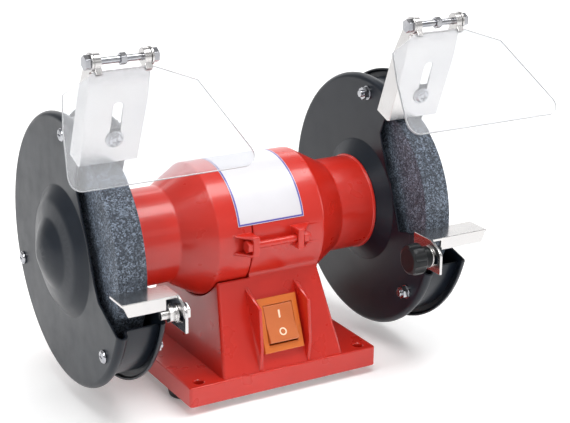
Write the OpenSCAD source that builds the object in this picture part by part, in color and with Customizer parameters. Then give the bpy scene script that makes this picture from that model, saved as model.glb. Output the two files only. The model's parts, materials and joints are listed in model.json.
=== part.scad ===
// Bench grinder with two wheels, drawn guards, tool rests and tilting eye shields.
// X runs along the shaft, Y towards the back and Z up. The origin is on the bench under the base.

/* [Base] */
// Width of the base flange along X
base_w = 147; // [123:1:177]
// Depth of the base flange along Y
base_d = 131; // [109:1:158]
// Height of the base flange
flange_h = 14.5; // [12:0.5:17.5]
// Radius of the flange corners
base_corner = 2.5; // [2:0.5:5]
// Distance from the flange's front and back edges to the bench bolts
bolt_inset = 8; // [6.5:0.5:10]
// Distance from the flange's sides to the bench bolts
bolt_side_inset = 10; // [8:0.5:12.5]
// Diameter of the bench bolt holes
bench_hole = 7; // [5.5:0.5:8.5]
// Thickness of the base casting's walls
cast_wall = 4; // [3:0.25:5]
// Width of the pedestal at the flange
pedestal_low_w = 94.4; // [78:0.2:114]
// Width of the pedestal at its shoulder
pedestal_top_w = 78.8; // [65:0.2:95]
// Distance from the flange's front edge to the pedestal
pedestal_set_back = 2.1; // [1.7:0.1:2.6]
// Angle below the shaft at which the pedestal meets the housing
shoulder_angle = 36.6; // [30:0.1:44]
// Diameter of a rubber foot
foot_d = 25; // [20:0.5:30]
// Height of a rubber foot
foot_h = 6; // [5:0.5:8]
// Thickness of the sheet that closes the base
cover_sheet = 1.5; // [1.2:0.1:1.8]

/* [Motor housing] */
// Height of the housing's underside over the bench
housing_low_z = 61.9; // [61:0.1:75]
// Outer diameter of the housing around the stator
housing_d = 93.2; // [77:0.2:112]
// Length of the full-diameter part of the housing
housing_l = 81.4; // [67.8:0.2:98]
// Outer diameter of the necks at the two ends
neck_d = 67.4; // [60:0.2:74]
// Length of the cone from the full diameter to a neck
cone_l = 22.6; // [18.8:0.1:27.2]
// Distance from the centre to the end face of a neck
neck_end = 91.9; // [84:0.1:111]
// Thickness of the housing wall
housing_wall = 3.6; // [3:0.1:4.4]
// Place of the seam between the bell and the casting
seam_x = -15.4; // [-18.5:0.1:-12.8]
// Width of the seam
seam_gap = 0.8; // [0.6:0.1:1]
// Distance from the housing's skin to the tie bolts
tie_out = 5.9; // [4.9:0.1:7.1]
// Diameter of the tie bolts
tie_d = 5; // [4:0.5:6]

/* [Rotor and bearings] */
// Diameter of the shaft inside the motor
shaft_d = 20; // [16.5:0.5:24]
// Bore of the bearings
bearing_bore = 15; // [13:0.5:18]
// Outer diameter of the bearings
bearing_od = 35; // [29:0.5:42]
// Width of the bearings
bearing_w = 11; // [9:0.5:13.5]
// Diameter of the arbor that carries a wheel
arbor_d = 12.7; // [10.5:0.1:15]
// Radial depth of the stator core
stator_depth = 18.6; // [16.2:0.1:22.4]
// Length of the stator and rotor cores
core_l = 42; // [35:1:50]
// Air gap between rotor and stator
air_gap = 0.4; // [0.3:0.05:0.6]

/* [Wheels] */
// Diameter of a grinding wheel
wheel_d = 150; // [125:1:180]
// Thickness of a grinding wheel
wheel_t = 20; // [16.5:0.5:24]
// Distance from a neck's end face to its wheel
wheel_set = 15.1; // [14.6:0.1:16]
// Diameter of the wheel flanges
clamp_d = 50; // [42:1:60]

/* [Guards] */
// Room between a wheel's edge and the guard's band
wheel_room = 10.5; // [9:0.5:12.5]
// Distance from the band to the rim of the discs
rim_out = 6.5; // [5.5:0.1:7.8]
// Width of a guard beyond the thickness of its wheel
guard_side_room = 13.4; // [13.2:0.1:16]
// Thickness of the guard sheet
guard_sheet = 1.5; // [1.3:0.1:1.8]
// Depth of the left guard's hub
left_hub_depth = 8.7; // [7.9:0.1:8.9]
// Depth of the right guard's hub
right_hub_depth = 7.5; // [7.1:0.1:8.5]
// Lower edge of the mouth in the cup, degrees below the front
cup_mouth = 21; // [18:1:25]
// Lower edge of the mouth in the plate, degrees below the front
plate_mouth = 16; // [14:1:19]

/* [Tool rests] */
// Drop of the left table below the shaft
left_table_drop = 5; // [2:0.5:6]
// Drop of the right table below the shaft
right_table_drop = 1.7; // [1.2:0.1:5]
// Gap between a table and its wheel
table_gap = 2; // [1.6:0.1:2.5]
// Depth of a table along Y
table_d = 19.7; // [16.5:0.1:23.6]
// Length of the left table
left_table_l = 39; // [33:1:46]
// Length of the right table
right_table_l = 48; // [40:1:57]
// Thickness of the rest's sheet
rest_sheet = 2; // [1.7:0.1:2.4]
// Travel of a rest away from its wheel
rest_travel = 6; // [3:0.5:7]

/* [Eye shields] */
// Distance of the hinge in front of the bracket's bend
hinge_out = 5.5; // [4.6:0.1:6.6]
// Height of the hinge over the bracket's bend
hinge_rise = 24.6; // [20.5:0.1:29.5]
// Tilt of the left shield from hanging straight down
left_tilt = 34.8; // [20:0.2:50]
// Tilt of the right shield from hanging straight down
right_tilt = 40.7; // [20:0.1:50]
// Thickness of a shield
shield_t = 2; // [1.6:0.1:2.6]
// Length of a shield along its slope
shield_l = 79.5; // [66:0.5:96]
// Length of the bracket's sloping face
bracket_l = 50; // [42:0.5:60]
// Lean of the bracket's face from the vertical
bracket_lean = 19.3; // [16.5:0.1:23]
// Thickness of the bracket's sheet
bracket_sheet = 1.5; // [1.3:0.1:1.8]
// Travel of a bracket away from its wheel
bracket_out = 3; // [2.5:0.5:3.5]
// Travel of a bracket towards its wheel
bracket_in = 3; // [1:0.5:3.5]

/* [Switch] */
// Width of the switch frame
bezel_w = 31; // [26:0.5:37]
// Height of the switch frame
bezel_h = 38; // [32:0.5:42]
// Distance the frame stands proud of the pedestal
bezel_proud = 4.5; // [3.8:0.1:5.4]
// Tilt of the rocker in each of its two positions
rocker_throw = 6; // [4:0.5:7]

/* [Hidden] */

$fn = 96;
fine = 32;
smooth = 48;
cut = 1;
red = [0.75, 0.1, 0.07];
black = [0.12, 0.13, 0.15];
zinc = [0.78, 0.78, 0.8];
dark_rubber = [0.08, 0.08, 0.08];
copper = [0.72, 0.4, 0.2];
laminated_steel = [0.45, 0.46, 0.48];
amber = [1, 0.5, 0.1];
abrasive = [0.32, 0.34, 0.37];
clear_plastic = [0.9, 0.93, 0.95, 0.4];

// Clearances
running = 0.04;
tight = 0.05;
clear = 0.3;
slide_gap = 0.15;
hole_clear = 0.25;

// Housing, necks and the height of the shaft
housing_r = housing_d / 2;
housing_half = housing_l / 2;
neck_r = neck_d / 2;
neck_start = housing_half + cone_l;
bore_r = housing_r - housing_wall;
shaft_z = housing_low_z + housing_r;
neck_wall = 3.6;
neck_bore_r = neck_r - neck_wall;
cone_step = 1.3;
end_wall = 4;
lip_r = neck_r + 0.8;
lip_w = 1.6;

// Base and pedestal
flange_z = foot_h + flange_h;
seat_z = foot_h + cover_sheet;
bench_x = base_w - 2 * bolt_side_inset;
bench_y = base_d - 2 * bolt_inset;
bench_boss_r = min(bench_hole / 2 + 4.3, bolt_inset);
shoulder_z = shaft_z - housing_r * sin(shoulder_angle);
shoulder_ledge = 2.4;
pedestal_low_d = base_d - 2 * pedestal_set_back;
pedestal_top_d = 2 * (housing_r * cos(shoulder_angle) + shoulder_ledge);
pedestal_corner = 2.2;
inner_corner = 2;
saddle_room = 0.4;
wire_hole_r = 7;
wire_hole_x = 20;

// Feet and their screws
foot_x = base_w / 2 - foot_d / 2 - 1;
foot_y = bench_y / 2 - 27.5;
foot_screw_d = 4;
foot_screw_l = 12;
foot_thread_l = 10;
foot_boss_r = 6;
foot_socket_d = 9.4;
foot_socket_h = 3;
foot_head_h = 2;

// Bearings and shaft along X
bearing_r = bearing_od / 2;
pocket_end = neck_end - 2;
right_bearing_x = pocket_end - bearing_w;
wave_t = 0.6;
wave_h = 0.9;
left_bearing_x = -pocket_end + wave_h;
journal_end = pocket_end - bearing_w - wave_h;
pocket_lip = 2;
shaft_hole_r = bearing_bore / 2 + 1.2;
boss_wall = 4;
ring_wall = 2.5;
shield_step = 0.5;
wheel_r = wheel_d / 2;
wheel_x = neck_end + wheel_set;
arbor_start = wheel_x - 4;
clamp_t = 3.5;
clamp_rim = 6;
clamp_relief = 1;
nut_t = 6;
nut_flats = 19;
arbor_end = wheel_x + wheel_t + clamp_t + nut_t + 0.7;

// Stator and rotor
stator_bore_r = bore_r - stator_depth;
rotor_r = stator_bore_r - air_gap;
slots = 12;
slot_w = 7;
tooth_tip = 3;
back_iron = 6.6;
slot_floor = stator_bore_r + tooth_tip;
slot_depth = stator_depth - tooth_tip - back_iron;
turn_l = 13;
turn_gap = 0.4;
end_ring_l = 5;

// Lugs and tie bolts
tie_reach = housing_r + tie_out;
lug_t = 5;
left_lug_x = seam_x - seam_gap / 2 - lug_t;
right_lug_x = 14.2;
lug_h = 14.5;
lug_front = 4.5;
lug_root = housing_r - 2.5;
gusset_t = 2;
gusset_l = 9.7;
tie_flats = 8;
tie_head = 3.5;
tie_nut = 4;
tie_tail = 2.5;

// Label wrapped round the housing
label_left = -26;
label_right = 25;
label_low = 15;
label_high = 102;
label_t = 0.3;

// Switch and its seat on the pedestal's front
face_run = (pedestal_low_d - pedestal_top_d) / 2;
face_rise = shoulder_z - flange_z;
face_lean = atan(face_run / face_rise);
bezel_low = 11;
switch_x = 0.5;
window_w = bezel_w - 8;
window_h = bezel_h - 10.6;
window_depth = 7;
switch_body_w = bezel_w - 6;
switch_body_h = bezel_h - 7;
switch_depth = 24;
panel_clear = 0.4;
rocker_w = window_w - 2 * clear;
rocker_h = window_h - 1.2;
rocker_pivot = 1.5;
pivot_r = 1.5;
pivot_l = 1.2;
fin_x = bezel_w / 2 + 3.5;
fin_t = 2.4;

// Capacitor, its clip and the terminal block on the base plate
cap_r = 15;
cap_l = 46;
cap_y = 24;
cap_z = seat_z + cap_r + 0.2;
cap_tag = [7, 0.8, 6];
cap_tag_y = 5;
strap_t = 1.2;
strap_w = 12;
strap_foot = 9;
strap_hole = 4.4;
block_x = -38;
block_y = -24;
block_w = 14;
block_h = 13;
block_pitch = 8;
block_poles = 4;
block_wire_z = 6;
block_wire_d = 3.4;
block_screw_d = 4;

// Cord gland in the pedestal's back
gland_thread_r = 6.5;
gland_bore_r = 4;
gland_x = 22;
gland_up = 22;
gland_out = 9;
gland_in = cast_wall + 6;
gland_collar_r = 9.5;
gland_collar_t = 4;
gland_nut_t = 4;

// Guards: dome over the nut as [radius, height], and the hub around the neck
boss_dome = [
    [0, 17], [4, 17], [10, 15.6], [16, 13.3], [21, 10.6], [25, 8.5], [33, 6.8], [37, 5.2], [40, 3],
    [45, 0]
];
boss_h = boss_dome[0][1];
hub_high_r = neck_r + 0.3;
hub_low_r = hub_high_r + 11;
hub_hole_r = 18;
band_r = wheel_r + wheel_room + guard_sheet;
guard_r = band_r + rim_out;
guard_w = wheel_t + guard_side_room;
rim_round = 4;
lip_round = 3.5;
lip_depth = 4.5;
band_end = guard_w - guard_sheet - clear;
left_plate_x = -neck_end - left_hub_depth;
left_cup_x = left_plate_x - guard_w;
right_cup_x = neck_end + right_hub_depth;
right_plate_x = right_cup_x + guard_w;
guard_pitch = right_cup_x - left_cup_x;

// Screws through the hubs and screws across the guards
mount_ring = neck_r - 6.7;
mount_screw_d = 4;
mount_head_r = 3.8;
mount_head_h = 2.2;
mount_angles = [90, 210, 330];
screw_ring = wheel_r + wheel_room - 3;
guard_screw_d = 5;
guard_screw_angles = [84.5, -38.5, -159];
guard_head_h = 2.6;
guard_head_r = 4.6;
guard_washer_d = 10;
guard_washer_t = 1;
guard_nut_flats = 8;
guard_nut_t = 4;
guard_tail = 2.2;

// Front edge of the guard discs from the top of the mouth to its lower corner,
// as [degrees above the front, share of the band's radius]
mouth_edge = [
    [65.7, 0.851], [66.1, 0.71], [59.2, 0.629], [42, 0.541], [21.8, 0.526], [-9.3, 0.606], [-16.6, 0.684]
];
mouth_far = guard_r + 40;

// Tool rests
left_table_z = shaft_z - left_table_drop;
right_table_z = shaft_z - right_table_drop;
leg_x = neck_end + 3.5;
table_back = wheel_r + table_gap;
table_front = table_back + table_d;
leg_reach = table_front + 12.3;
leg_h = 21.8;
lip_h = 9;
lip_start = 9;
lip_chamfer = 4;
rest_bolt_y = -table_back - 18;
rest_bolt_drop = 12.4;
rest_bolt_d = 6;
rest_bolt_flats = 10;
rest_bolt_head = 4;
rest_bolt_out = 11;
rest_nut_t = 3.2;
spring_washer_t = 1.4;
spring_washer_d = 10.4;
slot_in = table_gap;
ear_t = 2;
ear_h = 16;
ear_back = 17 - band_r;
ear_front = rest_bolt_y - 8;
ear_root = 30;
knob_r = 11;
knob_l = 16;
knob_grip = 10.5;
knob_hub_d = 15;
knob_thread = 9;
knob_lobes = 7;
knob_scoop_r = 4;
carriage_head_r = 6.5;
rest_washer_t = 1.2;
rest_washer_r = 6.3;
knob_washer_r = 7.8;

// Shield brackets: the foot of the face stands on the guard's upper corner
foot_angle = 60.2;
foot_r = band_r - 7.9;
bend_y = -foot_r * cos(foot_angle) - bracket_l * sin(bracket_lean);
bend_z = shaft_z + foot_r * sin(foot_angle) + bracket_l * cos(bracket_lean);
hinge_y = hinge_out - bend_y;
hinge_z = bend_z + hinge_rise;
plate_top = [1.2 - hinge_y, bend_z + hinge_rise - 7.5];
bracket_left = left_cup_x - 2;
bracket_right = left_plate_x + 5.8;
bracket_middle = (bracket_left + bracket_right) / 2;
bracket_taper = 1.6;
bracket_slot = 7;
bracket_screw_s = bracket_l - 18;
bracket_screw_x = bracket_left + 21.8;
bracket_screw_d = 5;
bracket_washer_r = 6;
bracket_nut_flats = 8;
bracket_nut_t = 4;
slot_top = 5;

ear_low = 6;
taper_from = 8;

// Outlines of the long flange and the short ear, as [distance down the face, distance behind it]
side_top = [-13, 11.4];
flange_outline = [
    [bracket_l, 0], [bracket_l + 1.4, 2.5], [bracket_l + 1, 16.4], [2.2, 14.4], side_top
];
ear_outline = [[ear_low, 0], [2.6, 12.6], side_top];

// Tab of the guard that a bracket is screwed to
tab_t = 2;
tab_top = bracket_l - 25;
tab_foot = bracket_l - 6;
tab_half = 10.7;
tab_w = left_plate_x - lip_depth - clear - bracket_screw_x + tab_half;
tab_hole = 6.5;

// Hinge, clips and shields
hinge_d = 4.5;
hinge_flats = 8.5;
hinge_ear_r = 6;
hinge_head_t = 3.5;
hinge_nut_t = 4;
hinge_tail = 1.2;
clip_w = 4.5;
clip_r = 5.5;
clip_leaf = 1.2;
clip_l = 9.2;
clip_left = bracket_left + bracket_sheet + clear;
clip_right = bracket_right - bracket_sheet - clear - clip_w;
collar_x = bracket_middle - 0.6;
collar_w = 4;
collar_flats = 7;
shield_neck = 6.5;
shield_corner = 8;

// Side edges of a shield as [distance from its middle, height over or under the hinge]
shield_left = [[-42.6, -18.4], [-48, -40], [-52.6, 10.6 - shield_l]];
shield_right = [[69.2, 11.5 - shield_l], [46.6, -19.5]];

function arc(cx, cy, r, from, to, steps = 8) =
    [for (i = [0:steps]) let (a = from + (to - from) * i / steps) [cx + r * cos(a), cy + r * sin(a)]];
function reversed(list) = [for (i = [len(list) - 1:-1:0]) list[i]];
function ring_point(r, angle) = [-r * cos(angle), shaft_z + r * sin(angle)];

// Solid of revolution about the shaft from [radius, x] points
module revolved(points) {
    translate([0, 0, shaft_z])
        rotate([0, 90, 0])
            rotate_extrude()
                polygon(points);
}

// Round bar along X
module bar(x, y, z, d, l, sides = smooth) {
    translate([x, y, z])
        rotate([0, 90, 0])
            cylinder(d = d, h = l, $fn = sides);
}

// Flat piece of an outline in [y, z], from x towards +X
module slab(x, t, points) {
    translate([x, 0, 0])
        rotate([90, 0, 90])
            linear_extrude(t)
                polygon(points);
}

// Hexagon nut or head along X, with a bore
module hex_along_x(x, y, z, flats, l, bore = 0) {
    difference() {
        bar(x, y, z, flats / cos(30), l, 6);
        if (bore > 0)
            bar(x - cut, y, z, bore, l + 2 * cut);
    }
}

// Ring along X
module ring_along_x(x, y, z, d, l, bore) {
    difference() {
        bar(x, y, z, d, l);
        bar(x - cut, y, z, bore, l + 2 * cut);
    }
}

module rounded_plate(w, d, r, h) {
    linear_extrude(h)
        union() {
            square([w - 2 * r, d], center = true);
            square([w, d - 2 * r], center = true);
            for (x = [-1, 1], y = [-1, 1])
                translate([x * (w / 2 - r), y * (d / 2 - r)])
                    circle(r = r, $fn = fine);
        }
}

module at_corners(x, y) {
    for (i = [-1, 1], j = [-1, 1])
        translate([i * x, j * y, 0])
            children();
}

// ---------------------------------------------------------------- base and housing

module pedestal_block(inset, low, high) {
    corner = inset > 0 ? inner_corner : pedestal_corner;
    thin = 0.001;
    hull()
        for (z = [low, high - thin])
            let (rise = (z - flange_z) / face_rise)
                translate([0, 0, z])
                    rounded_plate(
                        pedestal_low_w + (pedestal_top_w - pedestal_low_w) * rise - 2 * inset,
                        pedestal_low_d + (pedestal_top_d - pedestal_low_d) * rise - 2 * inset,
                        corner, thin
                    );
}

// Half of the housing towards +X, from the given start
module housing_half_shell(start) {
    revolved([
        [housing_r, start], [housing_r, housing_half], [neck_r, neck_start],
        [neck_r, neck_end - lip_w], [lip_r, neck_end - lip_w], [lip_r, neck_end],
        [shaft_hole_r, neck_end], [shaft_hole_r, pocket_end], [bearing_r + running, pocket_end],
        [bearing_r + running, journal_end - pocket_lip],
        [bearing_r + boss_wall, journal_end - pocket_lip],
        [bearing_r + boss_wall, neck_end - end_wall], [neck_bore_r, neck_end - end_wall],
        [neck_bore_r, neck_start - cone_step], [bore_r, housing_half - cone_step], [bore_r, start]
    ]);
}

module mount_holes(x, d) {
    for (a = mount_angles)
        let (p = ring_point(mount_ring, a))
            bar(x, p[0], p[1], d, end_wall + 2 * cut);
}

// Lug with two gussets for a tie bolt; side is -1 at the front and 1 at the back, and the
// gussets run away from the seam towards outward
module lug(x, side, outward) {
    tip = side * (tie_reach + lug_front);
    root = side * lug_root;
    low = shaft_z - lug_h / 2;
    near = outward > 0 ? 0 : lug_t;
    far = outward > 0 ? lug_t : 0;
    difference() {
        union() {
            slab(x, lug_t, [[root, low], [tip, low], [tip, low + lug_h], [root, low + lug_h]]);
            for (z = [low, low + lug_h - gusset_t])
                translate([x, 0, z])
                    linear_extrude(gusset_t)
                        polygon([
                            [near, root], [near, tip], [far, tip],
                            [far + outward * gusset_l, side * (housing_r - 0.6)],
                            [far + outward * gusset_l, root]
                        ]);
        }
        bar(x - cut, side * tie_reach, shaft_z, tie_d + 2 * hole_clear, lug_t + 2 * cut);
    }
}

// Places children on the pedestal's front face: x across, z up the face, -y out of it
module on_front_face() {
    translate([0, -pedestal_low_d / 2, flange_z])
        rotate([-face_lean, 0, 0])
            children();
}

module fin(x) {
    on_front_face()
        translate([x - fin_t / 2, 0, 0])
            rotate([90, 0, 90])
                linear_extrude(fin_t)
                    polygon([[2, -0.4], [0, 0], [-8, 14], [-16, 42.5], [0, 58.5], [2, 58.5]]);
}

module base_casting() color(red) {
    difference() {
        union() {
            translate([0, 0, foot_h])
                rounded_plate(base_w, base_d, base_corner, flange_h);
            pedestal_block(0, flange_z - 1, shoulder_z);
            for (x = [-fin_x, fin_x])
                fin(x + switch_x);
        }
        // hollow of the flange and the pedestal
        translate([0, 0, foot_h - cut])
            difference() {
                rounded_plate(
                    base_w - 2 * cast_wall, base_d - 2 * cast_wall, inner_corner, flange_h - cast_wall + cut
                );
                at_corners(foot_x, foot_y)
                    translate([0, 0, cover_sheet + cut])
                        cylinder(r = foot_boss_r, h = flange_h);
                at_corners(bench_x / 2, bench_y / 2)
                    cylinder(r = bench_boss_r + 0.5, h = flange_h + cut);
            }
        pedestal_block(cast_wall, flange_z - cast_wall - 0.5, shoulder_z - cast_wall);
        at_corners(bench_x / 2, bench_y / 2)
            translate([0, 0, foot_h - cut])
                cylinder(d = bench_hole, h = flange_h + 2 * cut, $fn = fine);
        at_corners(foot_x, foot_y)
            translate([0, 0, foot_h])
                cylinder(d = foot_screw_d + 2 * tight, h = foot_thread_l, $fn = fine);
        // room for the stator, and for the left bell over the saddle
        bar(seam_x - cut, 0, shaft_z, housing_d - 1, housing_l, $fn);
        bar(-housing_l, 0, shaft_z, housing_d + 2 * saddle_room, housing_l + seam_x + seam_gap / 2, $fn);
        // window for the switch body and hole for the cord gland
        on_front_face()
            translate([
                switch_x - switch_body_w / 2 - panel_clear, -cut,
                bezel_low + (bezel_h - switch_body_h) / 2 - panel_clear
            ])
                cube([
                    switch_body_w + 2 * panel_clear, cast_wall + 3 * cut, switch_body_h + 2 * panel_clear
                ]);
        gland_axis()
            cylinder(r = gland_thread_r + hole_clear, h = 2 * gland_in, center = true, $fn = fine);
    }
    difference() {
        housing_half_shell(seam_x + seam_gap / 2);
        translate([wire_hole_x, 0, shaft_z - housing_r - cut])
            cylinder(r = wire_hole_r, h = 3 * housing_wall, $fn = fine);
        mount_holes(neck_end - end_wall - cut, mount_screw_d + 2 * tight);
    }
    for (side = [-1, 1])
        lug(right_lug_x, side, 1);
}

module left_end_bell() color(red) {
    difference() {
        mirror([1, 0, 0])
            housing_half_shell(-seam_x + seam_gap / 2);
        mount_holes(-neck_end - cut, mount_screw_d + 2 * tight);
    }
    for (side = [-1, 1])
        lug(left_lug_x, side, -1);
}

module tie_bolts() color(red) {
    for (side = [-1, 1]) {
        y = side * tie_reach;
        head_x = left_lug_x - tie_head;
        tail_x = right_lug_x + lug_t + tie_nut + tie_tail;
        bar(head_x + cut, y, shaft_z, tie_d, tail_x - head_x - cut);
        hex_along_x(head_x, y, shaft_z, tie_flats, tie_head);
        hex_along_x(right_lug_x + lug_t, y, shaft_z, tie_flats, tie_nut);
    }
}

module rating_label() color("white") {
    translate([label_left, 0, shaft_z])
        rotate([0, 90, 0])
            rotate([0, 0, -90 - label_high])
                rotate_extrude(angle = label_high - label_low)
                    translate([housing_r + tight, 0])
                        square([label_t, label_right - label_left]);
}

module base_cover_plate() color(zinc) {
    difference() {
        translate([0, 0, foot_h])
            rounded_plate(
                base_w - 2 * (cast_wall + clear), base_d - 2 * (cast_wall + clear), inner_corner, cover_sheet
            );
        at_corners(bench_x / 2, bench_y / 2)
            translate([0, 0, foot_h - cut])
                cylinder(r = bench_boss_r + 0.5 + clear, h = cover_sheet + 2 * cut);
        at_corners(foot_x, foot_y)
            translate([0, 0, foot_h - cut])
                cylinder(d = foot_screw_d + 2 * hole_clear, h = cover_sheet + 2 * cut, $fn = fine);
    }
}

module rubber_feet() color(dark_rubber) {
    at_corners(foot_x, foot_y)
        rotate_extrude()
            polygon([
                [foot_screw_d / 2 + hole_clear, foot_socket_h], [foot_socket_d / 2, foot_socket_h],
                [foot_socket_d / 2, 0], [foot_d / 2 - 1.8, 0], [foot_d / 2 - 1, 0.6],
                [foot_d / 2, foot_h - 1], [foot_d / 2, foot_h], [foot_screw_d / 2 + hole_clear, foot_h]
            ]);
}

module foot_screws() color(zinc) {
    at_corners(foot_x, foot_y) {
        translate([0, 0, foot_socket_h])
            cylinder(d = foot_screw_d, h = foot_screw_l - foot_socket_h, $fn = fine);
        difference() {
            translate([0, 0, foot_socket_h - foot_head_h])
                cylinder(d = foot_socket_d - 1.4, h = foot_head_h, $fn = fine);
            translate([0, 0, foot_socket_h - foot_head_h])
                cube([1, foot_socket_d, foot_head_h - 0.4], center = true);
        }
    }
}

// ---------------------------------------------------------------- electrical pieces

module on_switch() {
    on_front_face()
        translate([switch_x, 0, bezel_low + bezel_h / 2])
            children();
}

module switch_bezel() color(amber) {
    on_switch()
        difference() {
            union() {
                translate([-bezel_w / 2, -bezel_proud, -bezel_h / 2])
                    cube([bezel_w, bezel_proud, bezel_h]);
                translate([-switch_body_w / 2, -0.1, -switch_body_h / 2])
                    cube([switch_body_w, switch_depth, switch_body_h]);
            }
            translate([-window_w / 2, -bezel_proud - cut, -window_h / 2])
                cube([window_w, bezel_proud + cut + window_depth, window_h]);
            bar(
                -window_w / 2 - pivot_l - hole_clear, -rocker_pivot, 0, 2 * (pivot_r + running),
                window_w + 2 * (pivot_l + hole_clear), fine
            );
        }
}

module switch_rocker() color(amber) {
    half = rocker_h / 2;
    on_switch()
        translate([0, -rocker_pivot, 0])
            rotate([-rocker_throw, 0, 0]) {
                translate([-rocker_w / 2, 0, 0])
                    rotate([90, 0, 90])
                        linear_extrude(rocker_w)
                            polygon([
                                [-4.6, -half + 0.6], [-4, -half], [2, -half], [4.5, 0], [2, half],
                                [-4, half], [-4.6, half - 0.6], [-3.2, 0]
                            ]);
                bar(-window_w / 2 - pivot_l, 0, 0, 2 * pivot_r, window_w + 2 * pivot_l, fine);
            }
}

module capacitor() color("white") {
    bar(-cap_l / 2, cap_y, cap_z, 2 * cap_r, cap_l, 64);
    for (side = [-1, 1])
        translate([cap_l / 2 - clear, cap_y + side * cap_tag_y - cap_tag[1] / 2, cap_z - cap_tag[2] / 2])
            cube(cap_tag);
}

module capacitor_clip() color(zinc) {
    inner = cap_r + tight;
    outer = inner + strap_t;
    foot_y_reach = outer + strap_foot;
    difference() {
        union() {
            bar(-strap_w / 2, cap_y, cap_z, 2 * outer, strap_w, 64);
            translate([-strap_w / 2, cap_y - outer, seat_z])
                cube([strap_w, 2 * outer, cap_z - seat_z]);
            translate([-strap_w / 2, cap_y - foot_y_reach, seat_z])
                cube([strap_w, 2 * foot_y_reach, strap_t]);
        }
        bar(-strap_w / 2 - cut, cap_y, cap_z, 2 * inner, strap_w + 2 * cut, 64);
        translate([-strap_w / 2 - cut, cap_y - inner, seat_z - cut])
            cube([strap_w + 2 * cut, 2 * inner, cap_z - seat_z + cut]);
        translate([-strap_w, cap_y - foot_y_reach - cut, seat_z - outer])
            cube([2 * strap_w, 2 * (foot_y_reach + cut), outer]);
        for (side = [-1, 1])
            translate([0, cap_y + side * (outer + strap_foot / 2), seat_z - cut])
                cylinder(d = strap_hole, h = strap_t + 2 * cut, $fn = fine);
    }
}

module terminal_block() color("ivory") {
    difference() {
        translate([block_x, block_y, seat_z])
            cube([block_w, block_poles * block_pitch, block_h]);
        for (i = [0:block_poles - 1])
            let (y = block_y + (i + 0.5) * block_pitch) {
                translate([block_x + block_w / 2, y, seat_z + block_wire_z])
                    cylinder(d = block_screw_d, h = block_h, $fn = fine);
                bar(block_x - cut, y, seat_z + block_wire_z, block_wire_d, block_w + 2 * cut, fine);
            }
    }
}

// Axis of the cord gland: out of the pedestal's back face
module gland_axis() {
    translate([gland_x, pedestal_low_d / 2, flange_z])
        rotate([face_lean, 0, 0])
            translate([0, 0, gland_up])
                rotate([-90, 0, 0])
                    children();
}

module cord_gland() color(dark_rubber) {
    gland_axis()
        difference() {
            union() {
                cylinder(r = gland_collar_r, h = gland_collar_t, $fn = smooth);
                cylinder(r1 = 8, r2 = 6.2, h = gland_out, $fn = smooth);
                translate([0, 0, -gland_in])
                    cylinder(r = gland_thread_r, h = gland_in + cut, $fn = smooth);
                translate([0, 0, -cast_wall - gland_nut_t - clear])
                    cylinder(r = gland_collar_r - 0.5, h = gland_nut_t, $fn = 6);
            }
            translate([0, 0, -gland_in - cut])
                cylinder(r = gland_bore_r, h = gland_in + gland_out + 2 * cut, $fn = smooth);
        }
}

module slot_bars(w, low, depth, x, l) {
    for (i = [0:slots - 1])
        translate([x, 0, shaft_z])
            rotate([i * 360 / slots, 0, 0])
                translate([0, -w / 2, low])
                    cube([l, w, depth]);
}

module stator_core() color(laminated_steel) {
    difference() {
        ring_along_x(-core_l / 2, 0, shaft_z, 2 * (bore_r - running), core_l, 2 * stator_bore_r);
        slot_bars(slot_w, slot_floor, slot_depth, -core_l / 2 - cut, core_l + 2 * cut);
    }
}

module stator_windings() color(copper) {
    for (side = [-1, 1])
        ring_along_x(
            side > 0 ? core_l / 2 + turn_gap : -core_l / 2 - turn_gap - turn_l, 0, shaft_z,
            2 * (slot_floor + slot_depth + 1), turn_l, 2 * (slot_floor - 1)
        );
    slot_bars(slot_w - 1, slot_floor + 0.5, slot_depth - 1, -core_l / 2 - 1, core_l + 2);
}

module rotor_core() color(laminated_steel) {
    ring_along_x(-core_l / 2, 0, shaft_z, 2 * rotor_r, core_l, shaft_d + 2 * running);
    for (x = [-core_l / 2 - end_ring_l, core_l / 2])
        ring_along_x(x, 0, shaft_z, 2 * rotor_r - 1, end_ring_l, rotor_r + shaft_d / 2);
}

module rotor_shaft() color(zinc) {
    revolved([
        [0, -arbor_end], [arbor_d / 2 - 1, -arbor_end], [arbor_d / 2, -arbor_end + 1],
        [arbor_d / 2, -arbor_start], [bearing_bore / 2 - running, -arbor_start],
        [bearing_bore / 2 - running, left_bearing_x + bearing_w + 2 * tight],
        [shaft_d / 2, left_bearing_x + bearing_w + 2 * tight], [shaft_d / 2, right_bearing_x - 2 * tight],
        [bearing_bore / 2 - running, right_bearing_x - 2 * tight], [bearing_bore / 2 - running, arbor_start],
        [arbor_d / 2, arbor_start], [arbor_d / 2, arbor_end - 1], [arbor_d / 2 - 1, arbor_end], [0, arbor_end]
    ]);
}

// Shielded ball bearing with a step between its rings and its shields
module bearing(x) {
    inner_ring = bearing_bore / 2 + ring_wall;
    outer_ring = bearing_r - ring_wall;
    revolved([
        [bearing_bore / 2, x], [inner_ring, x], [inner_ring, x + shield_step], [outer_ring, x + shield_step],
        [outer_ring, x], [bearing_r, x], [bearing_r, x + bearing_w], [outer_ring, x + bearing_w],
        [outer_ring, x + bearing_w - shield_step], [inner_ring, x + bearing_w - shield_step],
        [inner_ring, x + bearing_w], [bearing_bore / 2, x + bearing_w]
    ]);
}

module left_bearing() color(zinc) bearing(left_bearing_x);
module right_bearing() color(zinc) bearing(right_bearing_x);

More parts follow.
